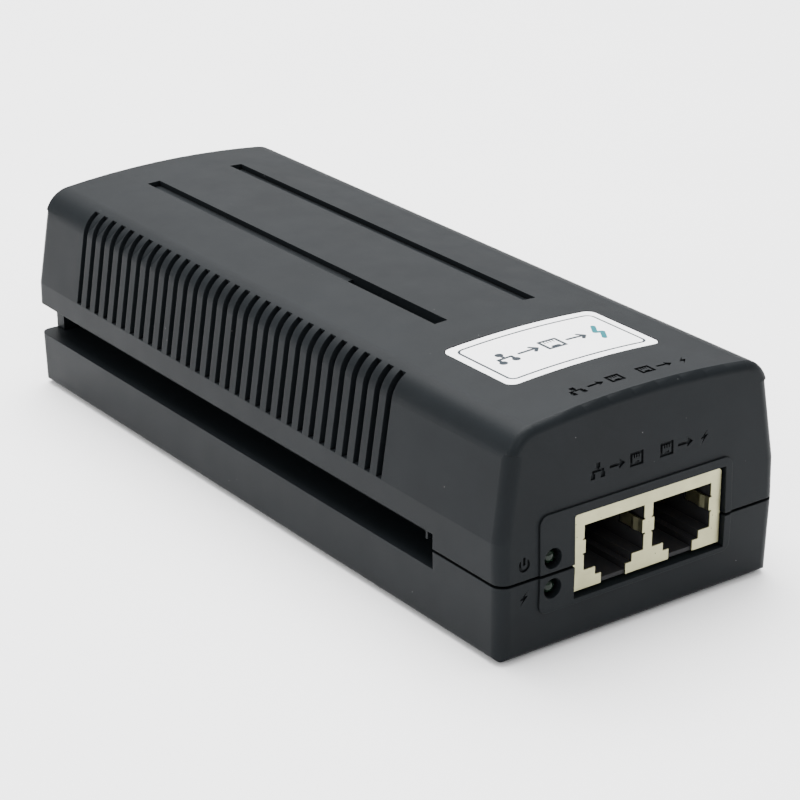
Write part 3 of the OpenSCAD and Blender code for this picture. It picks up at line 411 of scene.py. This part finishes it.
def inner_finishes():
    """Materials for the board and what stands on it, by the record's material slots."""
    return {
        "main_board": laminate("board_laminate"),
        "insulation_sheet": pressed_board("pressed_sheet", (0.62, 0.55, 0.4)),
        "fuse_tube": glossy("fuse_ceramic", (0.8, 0.78, 0.72), 0.3),
        "fuse_clips": sheet_metal("clip_brass", (0.75, 0.6, 0.3), 0.3),
        "surge_varistor": glossy("varistor_dip", (0.03, 0.12, 0.4)),
        "inrush_thermistor": glossy("thermistor_dip", (0.03, 0.06, 0.035), 0.5),
        "x_capacitor": plastic("x_capacitor_case", (0.6, 0.36, 0.04), 0.4),
        "choke_core": glossy("ferrite_coating", (0.05, 0.2, 0.07), 0.45),
        "choke_windings": sheet_metal("copper_enamel", (0.7, 0.26, 0.09), 0.22, grain=(1, 1, 4)),
        "bulk_capacitor": glossy("bulk_sleeve", (0.012, 0.02, 0.07)),
        "heatsink": sheet_metal("heatsink_aluminium", (0.72, 0.73, 0.74), 0.4, grain=(1, 1, 10)),
        "chip_black": plastic("chip_epoxy", (0.018, 0.018, 0.02), 0.55),
        "transformer_core": plastic("ferrite", (0.035, 0.035, 0.038), 0.5),
        "transformer_bobbin": plastic("bobbin_moulding", (0.62, 0.58, 0.48), 0.5),
        "transformer_winding": glossy("winding_tape", (0.66, 0.42, 0.03), 0.35),
        "y_capacitor": glossy("y_capacitor_dip", (0.03, 0.15, 0.45)),
        "output_capacitors": glossy("output_sleeve", (0.012, 0.06, 0.03)),
        "output_inductor": plastic("inductor_coating", (0.06, 0.05, 0.045), 0.6),
    }


def dress_nodes(materials):
    """Gives every CAD node the material of its slot in the record."""
    slots = {entry["node"]: entry["material_slot"] for entry in frame["record"]["subparts"]}
    for name, piece in frame["nodes"].items():
        piece.data.materials.clear()
        piece.data.materials.append(materials[slots[name]])


# Stage ---------------------------------------------------------------------------------------

def build_floor():
    """Plain pale floor, with a variation too faint to see as a pattern."""
    bpy.ops.mesh.primitive_plane_add(size=6, location=(0, 0, 0))
    floor = bpy.context.object
    floor.name = "floor"
    look = Look("floor_paint", (0.88, 0.88, 0.88), 0.6)
    look.set(Base_Color=look.clouded(look.noise(60), (0.87, 0.87, 0.875), (0.89, 0.89, 0.89)))
    floor.data.materials.append(look.material)


def softbox(name, place, size, watts):
    """Rectangular area light aimed at the middle of the casing, half way up."""
    target = Vector((0, 0, 0.02))
    data = bpy.data.lights.new(name, "AREA")
    data.shape = "RECTANGLE"
    data.size, data.size_y = size
    data.energy = watts
    light = bpy.data.objects.new(name, data)
    light.location = place
    light.rotation_euler = (target - Vector(place)).to_track_quat("-Z", "Y").to_euler()
    bpy.context.collection.objects.link(light)


def build_lights():
    softbox("softbox_top", (0.1, 0.3, 1.0), (1.0, 1.0), 42)
    softbox("softbox_left", (-1.0, 0.1, 0.6), (0.6, 0.6), 6)
    softbox("softbox_back", (0.8, 1.1, 0.6), (0.8, 0.5), 1.5)
    softbox("softbox_front", (-0.35, -0.9, 0.75), (0.3, 0.3), 4)


def build_world():
    """Grey studio surroundings that brighten from the horizon towards overhead."""
    horizon, overhead = (0.0, 0.3), (0.75, 1.0)
    strength = 1.7
    blue_tint = 1.01
    world = bpy.data.worlds.new("studio")
    world.use_nodes = True
    tree = world.node_tree
    coords = tree.nodes.new("ShaderNodeTexCoord")
    height = tree.nodes.new("ShaderNodeSeparateXYZ")
    ramp = tree.nodes.new("ShaderNodeValToRGB")
    for element, (position, grey) in zip(ramp.color_ramp.elements, (horizon, overhead)):
        element.position = position
        element.color = (grey, grey, grey * blue_tint, 1)
    background = tree.nodes["Background"]
    background.inputs["Strength"].default_value = strength
    tree.links.new(coords.outputs["Generated"], height.inputs["Vector"])
    tree.links.new(height.outputs["Z"], ramp.inputs["Fac"])
    tree.links.new(ramp.outputs["Color"], background.inputs["Color"])
    bpy.context.scene.world = world


def build_camera():
    """Three-quarter view from above, socket end and left side towards the lens."""
    place = Vector((-0.2438, -0.3429, 0.1913))
    azimuth = math.radians(-35.99)
    elevation = math.radians(22.93)
    roll = math.radians(-0.08)
    data = bpy.data.cameras.new("camera")
    data.sensor_width = 36
    data.lens = 115.7
    data.clip_start = 0.01
    level = math.cos(elevation)
    back = Vector((math.sin(azimuth) * level, -math.cos(azimuth) * level, math.sin(elevation)))
    right = Vector((math.cos(azimuth), math.sin(azimuth), 0))
    turn = Matrix((right, back.cross(right), back)).transposed().to_4x4()
    camera = bpy.data.objects.new("camera", data)
    camera.matrix_world = Matrix.Translation(place) @ turn @ Matrix.Rotation(roll, 4, "Z")
    bpy.context.collection.objects.link(camera)
    bpy.context.scene.camera = camera


build_camera()
dress_nodes({**outer_finishes(), **inner_finishes()})
build_floor()
build_lights()
build_world()
